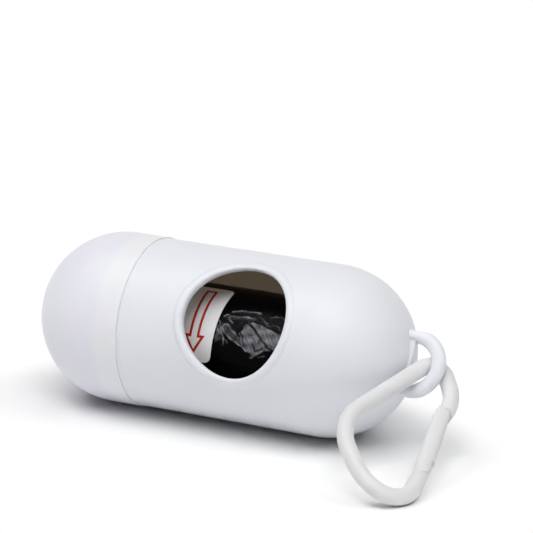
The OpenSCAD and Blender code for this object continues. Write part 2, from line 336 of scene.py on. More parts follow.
# ---------------------------------------------------------------- End loop
# D-shaped eye of the same moulding: a round bar bent into an arch, with a thin web behind the
# flat side of its hole. The bar is flattened and a little thicker at the top of the arch, and a
# small fillet runs round its feet.


def tube_rows(path_points, radii, side, sides=32, wide=None):
    """Rows of a bar along a path; side is the normal of its plane, wide its extra half width in the plane."""
    pts = np.asarray(path_points, float)
    way = np.gradient(pts, axis=0)
    way /= np.linalg.norm(way, axis=1)[:, None]
    side = np.asarray(side, float)
    cross = np.cross(side, way)
    cross /= np.linalg.norm(cross, axis=1)[:, None]
    a = np.linspace(0, 2 * math.pi, sides, endpoint=False)
    wide = np.zeros(len(pts)) if wide is None else wide
    return [p + (r + w) * np.cos(a)[:, None] * c + r * np.sin(a)[:, None] * side
            for p, r, w, c in zip(pts, radii, wide, cross)]


bar_r, arch_r, arch_x, flat_x = 1.4, 6.25, -2.2, -2.65
bend_turns = np.linspace(-90.0, 90.0, 49)
leg = np.linspace(-9.5, arch_x, 22)[:-1]
crown_in, crown_wide = 0.28, 0.18
crown_thick, foot_thick, foot_reach = 0.1, 0.12, 0.25
arch = [(arch_x + (arch_r - crown_in) * math.cos(a), arch_r * math.sin(a)) for a in np.radians(bend_turns)]
line = np.array([(x, -arch_r) for x in leg] + arch + [(x, arch_r) for x in leg[::-1]])
path_points = np.array([[x, 0, 0] + s * side_dir for x, s in line])
above_dome = np.clip(np.hypot(line[:, 0] - dome_x, line[:, 1]) - body_r, 0, None)
past_legs = line[:, 0] - arch_x
radii = bar_r + crown_thick * np.clip(past_legs / 2.0, 0, 1) + foot_thick * np.exp(-above_dome / foot_reach)
bar_rows = tube_rows(path_points, radii, out_dir, wide=crown_wide * np.clip(past_legs / 2.5, 0, 1))
ends = [np.repeat(path_points[k][None], 32, 0) for k in (0, -1)]
loop_parts = [strip([ends[0]] + bar_rows + [ends[1]], wrap=True)]
web_half, web_round = 1.08, 0.5
web_line = ([(x, web_half) for x in (-8.5, -6.0, -4.0, flat_x - web_round)]
            + [(flat_x - web_round + web_round * math.sin(a), web_half - web_round + web_round * math.cos(a))
               for a in np.linspace(0.2, math.pi / 2, 6)])
web_line = web_line + [(x, -h) for x, h in web_line[::-1]]
web_rows = [[np.array([x, 0, 0]) + h * out_dir + s * side_dir for x, h in web_line]
            for s in np.linspace(-arch_r, arch_r, 9)]
points, cells = strip(web_rows, wrap=True)
count, last = len(web_line), len(points) - 1
cells += [tuple(range(count)), tuple(range(last, last - count, -1))]
loop_parts.append((points, cells))
loop = build("end_loop", loop_parts, body_plastic)
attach(loop, "body")

# ---------------------------------------------------------------- End cap
# Push-on cap moulded from uncoloured polypropylene, thin enough for the light to reach in. It is
# painted lighter where the white neck stands behind it: painted light from the neck seen through the
# thin wall. A snap groove runs round inside its rim.
rim_x, cap_rim_r, cap_dome_r, cap_in_r = -67.62, 19.64, 19.62, 18.8
mouth_bevel, cap_tip_x = 0.15, -95.2
cap_dome_x = cap_tip_x + cap_dome_r
fall = np.radians(np.linspace(0.0, 90.0, 30))
outside = [(cap_dome_x - cap_dome_r * math.cos(a), cap_dome_r * math.sin(a)) for a in fall]
straight = [(x, cap_dome_r + (cap_rim_r - cap_dome_r) * (x - cap_dome_x) / (rim_x - cap_dome_x))
            for x in np.linspace(cap_dome_x + 1, rim_x - 0.5, 7)]
rim_round = rounded_edge(rim_x, cap_rim_r, 0.05, 6, facing=1)
mouth = [(rim_x, cap_in_r + mouth_bevel), (rim_x - mouth_bevel, cap_in_r)]
groove_line = ((0.95, 0), (0.75, 0.12), (0.4, 0.18), (-0.4, 0.18), (-0.75, 0.12), (-0.95, 0))
groove = [(bead_x + d, cap_in_r + g) for d, g in groove_line]
inside = [(cap_dome_x - cap_in_r * math.cos(a), cap_in_r * math.sin(a)) for a in fall[::-1]]
cap_line = np.array(outside + straight + rim_round + mouth + groove + inside)
cap_rows = round_point(cap_line[:, :1], cap_line[:, 1:], turns[None, :])


def clear_moulded(name):
    """Thin uncoloured polypropylene: milky, with light scattered through it; painted lighter before the neck,
    as painted light from the neck behind.
    """
    m = new_material(name)
    at = add(m, "ShaderNodeTexCoord")
    parts = add(m, "ShaderNodeSeparateXYZ", {}, Vector=at.outputs["Object"])
    # Painted light: the colour is lighter over the neck, where the white neck behind the thin cap sends light
    # back through it.
    neck_light_painted = add(m, "ShaderNodeMapRange",
                    {"From Min": (neck_x - 1.2) * mm, "From Max": (neck_x + 1.1) * mm},
                    Value=parts.outputs["X"])
    cloud = add(m, "ShaderNodeTexNoise", {"Scale": 90.0, "Detail": 3.0}, Vector=at.outputs["Object"])
    fine = add(m, "ShaderNodeTexNoise", {"Scale": 2600.0, "Detail": 3.0}, Vector=at.outputs["Object"])
    tone = add(m, "ShaderNodeMix", {"data_type": "RGBA", 6: srgb("#efeff9"), 7: srgb("#f4f5fa")},
               Factor=neck_light_painted.outputs[0])
    mottle = add(m, "ShaderNodeMix", {"data_type": "RGBA", "blend_type": "MULTIPLY", "Factor": 0.08},
                 _6=tone.outputs[2], _7=cloud.outputs["Color"])
    sheen = add(m, "ShaderNodeMapRange", {"To Min": 0.36, "To Max": 0.46}, Value=cloud.outputs["Fac"])
    bump = add(m, "ShaderNodeBump", {"Strength": 0.3, "Distance": 0.00002}, Height=fine.outputs["Fac"])
    skin = add(m, "ShaderNodeBsdfPrincipled",
               {"IOR": 1.49, "Specular IOR Level": 0.35, "Subsurface Weight": 0.25,
                "Subsurface Scale": 0.0025, "Subsurface Radius": (1.0, 1.0, 1.1)},
               Base_Color=mottle.outputs[2], Roughness=sheen.outputs[0], Normal=bump.outputs[0])
    add(m, "ShaderNodeOutputMaterial", Surface=skin.outputs[0])
    return m


cap_plastic = clear_moulded("moulded_polypropylene_natural")
cap = build("end_cap_shell", [strip(cap_rows, wrap=True)], cap_plastic)
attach(cap, "cap")
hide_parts("end_cap")

# ---------------------------------------------------------------- Core tube
# Thin tube of grey-brown board wound in a spiral and glued, cut square; the film is wound on it.
roll_z, roll_near, roll_len = -3.3, -20.6, 57.4


def on_roll(x, r, rise):
    """Point at x, radius r from the roll's axis, risen from the horizontal on the opening's side."""
    a = np.radians(rise)
    return np.stack([x + 0 * r * a, -r * np.cos(a) + 0 * x, roll_z + r * np.sin(a) + 0 * x], -1)


def wound_board(name):
    """Wound board: matt fibres along the winding and a faint spiral seam every 9 mm."""
    m = new_material(name)
    at = add(m, "ShaderNodeTexCoord")
    parts = add(m, "ShaderNodeSeparateXYZ", {}, Vector=at.outputs["Object"])
    turn = add(m, "ShaderNodeMath", {"operation": "ARCTAN2"}, _0=parts.outputs["Y"], _1=parts.outputs["Z"])
    step = add(m, "ShaderNodeMath", {"operation": "MULTIPLY_ADD", 1: 111.0}, _0=parts.outputs["X"])
    lag = add(m, "ShaderNodeMath", {"operation": "MULTIPLY", 1: 0.159}, _0=turn.outputs[0])
    m.node_tree.links.new(lag.outputs[0], step.inputs[2])
    turned_x = add(m, "ShaderNodeMath", {"operation": "FRACT"}, _0=step.outputs[0])
    seam = add(m, "ShaderNodeMapRange", {"From Min": 0.0, "From Max": 0.06}, Value=turned_x.outputs[0])
    grain = add(m, "ShaderNodeTexNoise", {"Scale": 900.0, "Detail": 5.0}, Vector=at.outputs["Object"])
    tone = add(m, "ShaderNodeMix", {"data_type": "RGBA", 6: srgb("#6f6453"), 7: srgb("#a1947d")},
               Factor=grain.outputs["Fac"])
    dark = add(m, "ShaderNodeMix", {"data_type": "RGBA", 6: srgb("#54493a")}, Factor=seam.outputs[0],
               _7=tone.outputs[2])
    bump = add(m, "ShaderNodeBump", {"Strength": 0.5, "Distance": 0.00005}, Height=grain.outputs["Fac"])
    skin = add(m, "ShaderNodeBsdfPrincipled", {"Roughness": 0.85, "Specular IOR Level": 0.2},
               Base_Color=dark.outputs[2], Normal=bump.outputs[0])
    add(m, "ShaderNodeOutputMaterial", Surface=skin.outputs[0])
    return m


core_r, core_in, worn = 5.8, 4.8, 0.1
x_near, x_far = roll_near, roll_near - roll_len
core_line = [(x_near - worn, core_r), (x_near, core_r - worn), (x_near, core_in + worn),
             (x_near - worn, core_in), (x_far + worn, core_in), (x_far, core_in + worn),
             (x_far, core_r - worn), (x_far + worn, core_r)]
core_line = np.array(core_line + core_line[:1])
core_turns = np.arange(0.0, 360.0, 3.75)
core_rows = on_roll(core_line[:, :1], core_line[:, 1:], core_turns[None, :])
tube = build("board_tube", [strip(core_rows, wrap=True)], wound_board("wound_board"))
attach(tube, "roll")
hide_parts("core_tube")

# ---------------------------------------------------------------- Bag roll
# A strip of thin black polyethylene bags wound on the tube. The film lies in loose turns with
# creases along the roll, and its folded edges make fine rings on both ends.


def node_group(name, numbers):
    """A geometry node group with named number inputs, and its input node."""
    group = bpy.data.node_groups.new(name, "GeometryNodeTree")
    group.interface.new_socket("Geometry", in_out="INPUT", socket_type="NodeSocketGeometry")
    for label, value in numbers.items():
        entry = group.interface.new_socket(label, in_out="INPUT", socket_type="NodeSocketFloat")
        entry.default_value = value
    group.interface.new_socket("Geometry", in_out="OUTPUT", socket_type="NodeSocketGeometry")
    return group, group.nodes.new("NodeGroupInput")


def close_group(group, made, material):
    """Ends a node group: real geometry in its material goes to the output."""
    real = add(group, "GeometryNodeRealizeInstances", {}, Geometry=made.outputs[0])
    dressed = add(group, "GeometryNodeSetMaterial", {"Material": material}, Geometry=real.outputs[0])
    add(group, "NodeGroupOutput", {}, Geometry=dressed.outputs[0])
    return group


def settle(piece):
    """Keeps what a piece's modifiers make of it as its plain mesh."""
    seen = piece.evaluated_get(bpy.context.evaluated_depsgraph_get())
    mesh = bpy.data.meshes.new_from_object(seen)
    piece.modifiers.clear()
    piece.data = mesh


def baked(piece, group, **numbers):
    """Runs a node group on a piece with these numbers and keeps the result as its plain mesh."""
    run = piece.modifiers.new(group.name, "NODES")
    run.node_group = group
    for entry in group.interface.items_tree:
        if entry.in_out == "INPUT" and entry.name.replace(" ", "_") in numbers:
            run[entry.identifier] = numbers[entry.name.replace(" ", "_")]
    settle(piece)


def film_creases(material):
    """Pushes film along its normal: long creases down the roll, crossed by small crumples."""
    group, given = node_group("film_creases", {"Crease depth": 0.0004, "Crease pitch": 0.003,
                                               "Crumple depth": 0.0002, "Along": 0.22, "Seed": 3.0})
    at = add(group, "GeometryNodeInputPosition")
    squeeze = add(group, "ShaderNodeCombineXYZ", {"Y": 1.0, "Z": 1.0}, X=given.outputs["Along"])
    stretched = add(group, "ShaderNodeVectorMath", {"operation": "MULTIPLY"}, _0=at.outputs[0],
                    _1=squeeze.outputs[0])
    scale = add(group, "ShaderNodeMath", {"operation": "DIVIDE", 0: 1.0}, _1=given.outputs["Crease pitch"])
    long = add(group, "ShaderNodeTexNoise", {"noise_dimensions": "4D", "Detail": 2.0},
               Vector=stretched.outputs[0], Scale=scale.outputs[0], W=given.outputs["Seed"])
    ridge = add(group, "ShaderNodeMath", {"operation": "SUBTRACT", 1: 0.5}, _0=long.outputs[0])
    fold = add(group, "ShaderNodeMath", {"operation": "ABSOLUTE"}, _0=ridge.outputs[0])
    crest = add(group, "ShaderNodeMath", {"operation": "MULTIPLY", 1: -4.0}, _0=fold.outputs[0])
    lines = add(group, "ShaderNodeMath", {"operation": "MULTIPLY"}, _0=crest.outputs[0],
                _1=given.outputs["Crease depth"])
    finer = add(group, "ShaderNodeMath", {"operation": "MULTIPLY", 1: 1.7}, _0=scale.outputs[0])
    small = add(group, "ShaderNodeTexNoise", {"noise_dimensions": "4D", "Detail": 3.0}, Vector=at.outputs[0],
                Scale=finer.outputs[0], W=given.outputs["Seed"])
    level = add(group, "ShaderNodeMath", {"operation": "MULTIPLY_ADD", 1: 2.0, 2: -1.0}, _0=small.outputs[0])
    dents = add(group, "ShaderNodeMath", {"operation": "MULTIPLY"}, _0=level.outputs[0],
                _1=given.outputs["Crumple depth"])
    total = add(group, "ShaderNodeMath", {"operation": "ADD"}, _0=lines.outputs[0], _1=dents.outputs[0])
    facing = add(group, "GeometryNodeInputNormal")
    push = add(group, "ShaderNodeVectorMath", {"operation": "SCALE"}, _0=facing.outputs[0],
               Scale=total.outputs[0])
    moved = add(group, "GeometryNodeSetPosition", {}, Geometry=given.outputs["Geometry"],
                Offset=push.outputs[0])
    return close_group(group, moved, material)


def poly_film(name, dark, pale):
    """Thin polyethylene film: finely crumpled, with little shine, greyer where it is stretched thin."""
    m = new_material(name)
    at = add(m, "ShaderNodeTexCoord")
    along = add(m, "ShaderNodeMapping", {"Scale": (0.25, 1.0, 1.0)}, Vector=at.outputs["Object"])
    fine = add(m, "ShaderNodeTexNoise", {"Scale": 900.0, "Detail": 4.0, "Roughness": 0.6},
               Vector=along.outputs[0])
    broad = add(m, "ShaderNodeTexNoise", {"Scale": 180.0, "Detail": 2.0}, Vector=along.outputs[0])
    tone = add(m, "ShaderNodeMix", {"data_type": "RGBA", 6: srgb(dark), 7: srgb(pale)},
               Factor=broad.outputs["Fac"])
    sheen = add(m, "ShaderNodeMapRange", {"To Min": 0.22, "To Max": 0.42}, Value=fine.outputs["Fac"])
    bump = add(m, "ShaderNodeBump", {"Strength": 0.6, "Distance": 0.00012}, Height=fine.outputs["Fac"])
    skin = add(m, "ShaderNodeBsdfPrincipled", {"IOR": 1.5, "Specular IOR Level": 0.02},
               Base_Color=tone.outputs[2], Roughness=sheen.outputs[0], Normal=bump.outputs[0])
    add(m, "ShaderNodeOutputMaterial", Surface=skin.outputs[0])
    return m


roll_r = 14.0
black_film = poly_film("black_polyethylene_film", "#020203", "#09090b")
film_turns = np.arange(0.0, 360.0, 1.0)
fold_r = np.linspace(core_r + 0.05, roll_r - 0.35, 46)
edge_in, edge_step, edge_dent = 0.05, 0.22, 0.12
near_face = [(x_near - edge_in - edge_step * (k % 2) - edge_dent * (k % 5 == 0), r)
             for k, r in enumerate(fold_r)]
far_face = [(x_far + edge_in + edge_step * (k % 2) + edge_dent * (k % 7 == 0), r)
            for k, r in enumerate(fold_r)]
bore = [(x_far + 0.3, core_r + 0.05), (x_near - 0.3, core_r + 0.05)]
skin_line = [(x, roll_r - 0.02) for x in np.linspace(x_near - 0.4, x_far + 0.4, 190)]
roll_profile = np.array(bore[1:] + near_face + [(x_near - 0.12, roll_r - 0.12)] + skin_line
                        + [(x_far + 0.12, roll_r - 0.12)] + far_face[::-1] + bore[:1] + bore[1:])
roll_rows = on_roll(roll_profile[:, :1], roll_profile[:, 1:], film_turns[None, :])
roll_film = build("wound_film", [strip(roll_rows, wrap=True)], black_film, sharp=60.0)
baked(roll_film, film_creases(black_film), Crease_depth=0.22 * mm, Crease_pitch=4.2 * mm,
      Crumple_depth=0.12 * mm, Along=0.2, Seed=3.0)
roll_film.data.shade_smooth()
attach(roll_film, "roll")
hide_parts("bag_roll")

# ---------------------------------------------------------------- Loose bag end
# The end of the outer bag, laid back on the roll in several loose layers of black polyethylene.
# Sharp folds run down and across it. Its grey is partly film lying double with air between, and partly
# painted sheen: painted highlights along the folds and over the layers, painted shade in the creases.
# Every run and outline below is in (mm along the capsule, degrees up from the roll's axis).
flap_lo, flap_hi, flap_first, flap_last = -46.15, -25.25, 5.0, 95.0
mm_per_degree = math.radians(roll_r + 0.2)
fold_lines = (  # rise of the fold, half width, painted highlight strength, run
    (0.14, 0.26, 0.6, ((-43.5, 56), (-42.4, 57.5), (-41.0, 58.2), (-39.2, 59), (-37.0, 59))),
    (0.20, 0.30, 0.85, ((-44.1, 49), (-43.4, 50.4), (-42.0, 51), (-39.9, 52), (-37.5, 52))),
    (0.12, 0.22, 0.6, ((-45.2, 50), (-44.8, 52), (-44.1, 52))),
    (0.22, 0.24, 0.8, ((-37.5, 20), (-39.0, 24), (-41.2, 27), (-42.8, 31), (-44.3, 36), (-45.6, 41))),
    (0.18, 0.28, 0.6, ((-43.7, 42), (-42.5, 37), (-41.1, 34), (-39.8, 30))),
    (0.14, 0.26, 0.55, ((-44.0, 48), (-43.2, 46), (-42.5, 44))),
    (0.14, 0.22, 0.6, ((-46.1, 38), (-45.1, 32), (-45.7, 27))),
    (0.14, 0.24, 0.6, ((-44.9, 32), (-44.4, 37), (-43.4, 33))),
    (0.12, 0.20, 0.45, ((-43.9, 28), (-43.5, 23))),
    (0.10, 0.18, 0.4, ((-43.0, 27), (-42.5, 25))),
    (0.24, 0.30, 0.65, ((-40.0, 35), (-39.1, 44), (-37.6, 46), (-35.9, 40), (-33.9, 32), (-31.9, 26))),
    (0.20, 0.26, 0.8, ((-31.8, 24), (-33.4, 23), (-34.8, 18), (-36.1, 15))),
    (0.10, 0.16, 0.4, ((-32.9, 18), (-34.2, 16))),
    (0.12, 0.15, 0.9, ((-43.6, 27), (-44.3, 31), (-45.0, 37), (-45.9, 44))),
    (0.12, 0.15, 0.8, ((-44.2, 42), (-45.0, 34), (-46.0, 28))),
    (0.10, 0.14, 0.8, ((-45.9, 33), (-44.8, 38), (-43.9, 43))),
    (0.16, 0.24, 0.75, ((-37.9, 32), (-36.5, 29), (-36.8, 24), (-35.4, 25), (-34.5, 28))),
    (0.20, 0.26, 0.7, ((-38.0, 47), (-35.9, 46), (-33.4, 43), (-30.9, 40), (-28.5, 38))),
    (0.12, 0.22, 0.7, ((-33.4, 40), (-32.8, 34), (-33.0, 29))),
    (0.14, 0.22, 0.7, ((-38.5, 36), (-37.5, 31), (-37.4, 25))),
    (0.12, 0.22, 0.35, ((-36.7, 55), (-35.4, 52), (-33.9, 48))),
    (0.10, 0.2, 0.35, ((-34.1, 56), (-33.2, 58), (-31.5, 58), (-28.4, 55))),
    (0.12, 0.22, 0.3, ((-32.8, 49), (-31.2, 47), (-30.4, 44), (-28.0, 42))),
    (0.10, 0.2, 0.35, ((-34.9, 50), (-34.1, 46), (-33.1, 47))))
shaded_valleys = (  # creases darkened by painted shade: depth, half width, run
    (0.10, 0.26, ((-39.5, 42), (-39.9, 36), (-39.2, 33), (-39.0, 30), (-38.2, 24))),
    (0.12, 0.34, ((-38.2, 45), (-36.6, 40), (-34.4, 33), (-32.6, 27), (-31.2, 23))),
    (0.08, 0.3, ((-36.0, 27), (-35.2, 21), (-33.6, 25))))
layers = (  # film that lies double: height, strength of its grey and painted sheen, outline
    (0.10, 0.62, ((-40.1, 35), (-39.0, 45), (-36.6, 41), (-33.9, 32), (-31.8, 25), (-33.3, 22), (-35.5, 16),
                  (-37.5, 20), (-39.0, 26))),
    (0.14, 0.66, ((-38.0, 47), (-35.6, 46), (-30.9, 40), (-28.2, 36), (-28.6, 24), (-31.4, 25), (-33.6, 31),
                  (-36.0, 40))),
    (0.06, 0.22, ((-46.1, 40), (-45.0, 43), (-43.4, 42), (-40.5, 34), (-38.9, 26), (-39.9, 24), (-42.5, 30),
                  (-44.1, 33), (-44.5, 26), (-45.5, 24))))


def run_distance(run, x, s, closed=False):
    """Distance in mm from points of the unrolled film to a run, and on which side of it they lie."""
    line = [(px, turn * mm_per_degree) for px, turn in run]
    best, side = np.full(np.shape(x), 1e3), np.zeros(np.shape(x))
    for (ax, ay), (bx, by) in zip(line, line[1:] + (line[:1] if closed else [])):
        reach_sq = (bx - ax) ** 2 + (by - ay) ** 2 + 1e-9
        along = (((x - ax) * (bx - ax) + (s - ay) * (by - ay)) / reach_sq).clip(0, 1)
        away = np.hypot(x - ax - along * (bx - ax), s - ay - along * (by - ay))
        side = np.where(away < best, np.sign((bx - ax) * (s - ay) - (by - ay) * (x - ax)), side)
        best = np.minimum(best, away)
    return best, side


def within(run, x, s):
    """True where points of the unrolled film lie inside an outline."""
    line = [(px, turn * mm_per_degree) for px, turn in run]
    hit = np.zeros(np.shape(x), bool)
    for (ax, ay), (bx, by) in zip(line, line[1:] + line[:1]):
        if ay != by:
            hit ^= ((ay > s) != (by > s)) & (x < ax + (s - ay) * (bx - ax) / (by - ay))
    return hit


def folded(x, turn):
    """Height above the roll in mm and painted sheen of the loose film at a place: painted highlights,
    darkened by painted shade in the creases.
    """
    s = turn * mm_per_degree
    # Slow waves bend every line a little; streaks, painted shade lines and thin painted highlight lines
    # follow them.
    sway = 0.16 * np.sin(2.1 * x + 1.3 * s) + 0.10 * np.sin(3.7 * s - 1.6 * x)
    wx = x + 0.5 * sway + 0.04 * np.sin(7.1 * x + 5.3 * s)
    ws = s + 0.08 * np.sin(2.3 * s - 1.9 * x) + 0.04 * np.sin(6.1 * x - 6.7 * s)
    slope = 0.8 * wx + 0.6 * ws
    streak = np.abs(np.sin(1.9 * slope + 1.1 * np.sin(1.3 * ws - 0.7 * wx))) ** 0.7
    cross = np.abs(np.sin(3.4 * (0.5 * wx - 0.9 * ws) + 1.6 * np.sin(1.7 * wx + 0.9 * ws)))
    shade_line = (1 - cross * 5).clip(0, 1) * (np.sin(2.1 * wx + 1.3 * ws) > -0.2)
    patch_sheen = 0.5 + 0.5 * np.sin(1.25 * wx - 1.9 * ws + 1.2 * np.sin(0.9 * wx + 0.8 * ws))
    highlight_line = (1 - np.abs(np.sin(2.7 * slope - 1.5 * np.sin(0.8 * ws + 1.1 * wx))) * 4).clip(0, 1)
    height = 0.05 + 0.03 * sway
    # Stray painted highlight hairlines near the middle of the flap, where no larger fold lies.
    near = np.exp(-((x + 38.5) / 6.5) ** 2 - ((turn - 47) / 13.0) ** 2)
    stray_highlight = (1 - np.abs(np.sin(1.5 * wx + 4.3 * ws + 1.8 * np.sin(1.4 * wx))) * 5).clip(0, 1)
    pale = 0.38 * stray_highlight * near * (0.5 + 0.5 * np.sin(2.9 * wx - 1.1 * ws)) ** 1.5
    # Where film lies double it is raised, and its grey is partly the double film and partly painted sheen,
    # cut by painted shade lines.
    for rise, tone, outline in layers:
        inside = np.where(within(outline, wx, ws), 1.0, -1.0)
        over = (inside * run_distance(outline, wx, ws, closed=True)[0] / 0.22 + 0.5).clip(0, 1)
        height = height + over * (rise + 0.05 * streak)
        painted_highlight = 0.26 + 0.44 * patch_sheen + 0.30 * streak + 0.60 * highlight_line
        pale = np.maximum(pale, over * tone * painted_highlight * (1 - 0.7 * shade_line))
    # Folds: painted highlights along their crests and a fainter painted sheen on their slack side.
    for rise, half, tone, run in fold_lines:
        away, side = run_distance(run, wx, ws)
        close = (1 - away / half).clip(0, 1)
        slack = np.where(side < 0, (1 - away / (half * 2.6)).clip(0, 1), 0.0)
        height = height + rise * close ** 1.3
        pale = np.maximum(pale, 1.25 * tone * close ** 1.2 * (0.4 + 0.8 * patch_sheen))
        pale = np.maximum(pale, 0.30 * tone * slack * (0.3 + 0.7 * streak))
    # Painted shade: the creases of the valleys are darkened.
    for depth, half, run in shaded_valleys:
        close = (1 - run_distance(run, wx, ws)[0] / half).clip(0, 1)
        height = height - depth * close
        pale = pale * (1 - 0.95 * close ** 0.6)
    return height.clip(0.04, 0.34), pale.clip(0, 1)


def film_with_painted_sheen(name, dark, pale):
    """Polyethylene film whose tone follows the stored painted sheen: black alone, grey where it lies double
    and in painted highlights.
    """
    m = new_material(name)
    at = add(m, "ShaderNodeTexCoord")
    stored = add(m, "ShaderNodeAttribute", {"attribute_name": "painted_sheen_level"})
    fine = add(m, "ShaderNodeTexNoise", {"Scale": 1100.0, "Detail": 4.0, "Roughness": 0.65},
               Vector=at.outputs["Object"])
    fleck = add(m, "ShaderNodeMapRange", {"From Min": 0.35, "From Max": 0.65, "To Min": 0.7, "To Max": 1.25},
                Value=fine.outputs["Fac"])
    level = add(m, "ShaderNodeMath", {"operation": "MULTIPLY"}, _0=stored.outputs["Fac"], _1=fleck.outputs[0])
    tone = add(m, "ShaderNodeMix", {"data_type": "RGBA", 6: srgb(dark), 7: srgb(pale)},
               Factor=level.outputs[0])
    bump = add(m, "ShaderNodeBump", {"Strength": 0.7, "Distance": 0.00008}, Height=fine.outputs["Fac"])
    skin = add(m, "ShaderNodeBsdfPrincipled", {"IOR": 1.5, "Specular IOR Level": 0.03, "Roughness": 0.3},
               Base_Color=tone.outputs[2], Normal=bump.outputs[0])
    add(m, "ShaderNodeOutputMaterial", Surface=skin.outputs[0])
    return m


across, around, film_t = 190, 215, 0.03
grid_x, grid_turn = np.meshgrid(np.linspace(flap_hi, flap_lo, across),
                                np.linspace(flap_first, flap_last, around), indexing="ij")
lift = folded(grid_x, grid_turn)[0]
top = on_roll(grid_x, roll_r + film_t + lift, grid_turn)
low = on_roll(grid_x, roll_r + lift, grid_turn)
points, cells = strip(np.concatenate([top, low[::-1], top[:1]], 0))
for j in (0, around - 1):
    cells += [tuple(row * around + j for row in (i, i + 1, 2 * across - 2 - i, 2 * across - 1 - i))
              for i in range(across - 1)]
# Its grey is painted sheen and painted highlight, partly the grey of film lying double.
sheen_painted_film = film_with_painted_sheen("layered_polyethylene_film", "#020203", "#94949b")
loose_end = build("loose_film_end", [(points, cells)], sheen_painted_film, sharp=180.0, weld=0.0005)
spots = np.array([v.co for v in loose_end.data.vertices]) / mm
turn_of = np.degrees(np.arctan2(spots[:, 2] - roll_z, -spots[:, 1]))
# The painted sheen is stored on the points for the material.
sheen_values = loose_end.data.attributes.new("painted_sheen_level", "FLOAT", "POINT")
sheen_values.data.foreach_set("value", folded(spots[:, 0], turn_of)[1].astype(np.float32))
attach(loose_end, "roll")
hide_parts("loose_bag_end")

# ---------------------------------------------------------------- Label
# Coated paper label stuck round the roll, corners cut round, with the outline of an arrow printed
# in red that shows which way the bags come out.
label_x0, label_x1, label_t0, label_t1, label_rounding = -57.3, -46.3, 3.0, 85.0, 1.6
degree_mm = math.radians(1) * (roll_r + 0.15)


def curved_sheet(outline, low_r, high_r, cell=0.6):
    """A closed thin sheet round the roll from a flat outline in mm: x along, y round the roll."""
    bm = bmesh.new()
    corners = [bm.verts.new((p[0], p[1], 0)) for p in outline]
    bm.faces.new(corners)
    xs = [p[0] for p in outline]
    ys = [p[1] for p in outline]
    for axis, lo, hi in ((0, min(xs), max(xs)), (1, min(ys), max(ys))):
        for value in np.arange(lo + cell, hi, cell):
            at = [0.0, 0.0, 0.0]
            at[axis] = value
            facing = [0.0, 0.0, 0.0]
            facing[axis] = 1.0
            everything = bm.verts[:] + bm.edges[:] + bm.faces[:]
            bmesh.ops.bisect_plane(bm, geom=everything, plane_co=at, plane_no=facing)
    raised = bmesh.ops.extrude_face_region(bm, geom=bm.faces[:])
    for v in raised["geom"]:
        if isinstance(v, bmesh.types.BMVert):
            v.co.z = 1.0
    bm.verts.index_update()
    coords = np.array([v.co[:] for v in bm.verts])
    r = np.where(coords[:, 2] > 0.5, high_r, low_r)
    points = on_roll(coords[:, 0], r, coords[:, 1] / degree_mm)
    cells = [tuple(v.index for v in f.verts) for f in bm.faces]
    bm.free()
    return points, cells


def rounded(x0, y0, x1, y1, r, steps=8):
    """Outline of a rectangle with round corners."""
    out = []
    centres = ((x1 - r, y1 - r), (x0 + r, y1 - r), (x0 + r, y0 + r), (x1 - r, y0 + r))
    for quarter, (cx, cy) in enumerate(centres):
        corner = [math.radians(90 * quarter + 90 * k / steps) for k in range(steps + 1)]
        out += [(cx + r * math.cos(a), cy + r * math.sin(a)) for a in corner]
    return out


def coated_paper(name):
    """Coated paper: satin, with faint fibres."""
    m = new_material(name)
    at = add(m, "ShaderNodeTexCoord")
    fibre = add(m, "ShaderNodeTexNoise", {"Scale": 1500.0, "Detail": 5.0}, Vector=at.outputs["Object"])
    tone = add(m, "ShaderNodeMix", {"data_type": "RGBA", 6: srgb("#e2e2e5"), 7: srgb("#ececef")},
               Factor=fibre.outputs["Fac"])
    bump = add(m, "ShaderNodeBump", {"Strength": 0.2, "Distance": 0.00003}, Height=fibre.outputs["Fac"])
    skin = add(m, "ShaderNodeBsdfPrincipled", {"Roughness": 0.5, "Specular IOR Level": 0.4},
               Base_Color=tone.outputs[2], Normal=bump.outputs[0])
    add(m, "ShaderNodeOutputMaterial", Surface=skin.outputs[0])
    return m


paper_line = rounded(label_x0, label_t0 * degree_mm, label_x1, label_t1 * degree_mm, label_rounding)
paper_low, paper_high = roll_r + 0.03, roll_r + 0.14
label = build("paper_label", [curved_sheet(paper_line, paper_low, paper_high)],
              coated_paper("coated_label_paper"))
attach(label, "roll")
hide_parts("roll_label")

# ---------------------------------------------------------------- Printed arrow
# The arrow's outline, printed in red ink on the label: a straight shaft and a pointed head.


def red_ink(name):
    """Red printing ink, satin, slightly uneven."""
    m = new_material(name)
    at = add(m, "ShaderNodeTexCoord")
    cover = add(m, "ShaderNodeTexNoise", {"Scale": 2500.0, "Detail": 3.0}, Vector=at.outputs["Object"])
    tone = add(m, "ShaderNodeMix", {"data_type": "RGBA", 6: srgb("#a3160c"), 7: srgb("#bb2210")},
               Factor=cover.outputs["Fac"])
    skin = add(m, "ShaderNodeBsdfPrincipled", {"Roughness": 0.45, "Specular IOR Level": 0.4},
               Base_Color=tone.outputs[2])
    add(m, "ShaderNodeOutputMaterial", Surface=skin.outputs[0])
    return m


# Its corners in (mm along the capsule, degrees up from the roll's axis); the point is at the bottom.
arrow_turns = [(-52.9, 78.7), (-50.1, 78.7), (-49.8, 27.5), (-48.4, 27.5), (-50.7, 9.3), (-53.8, 27.5),
               (-52.4, 27.5)]
arrow = [(x, t * degree_mm) for x, t in arrow_turns]
line_w, ink_low, ink_high = 0.62, roll_r + 0.135, roll_r + 0.155


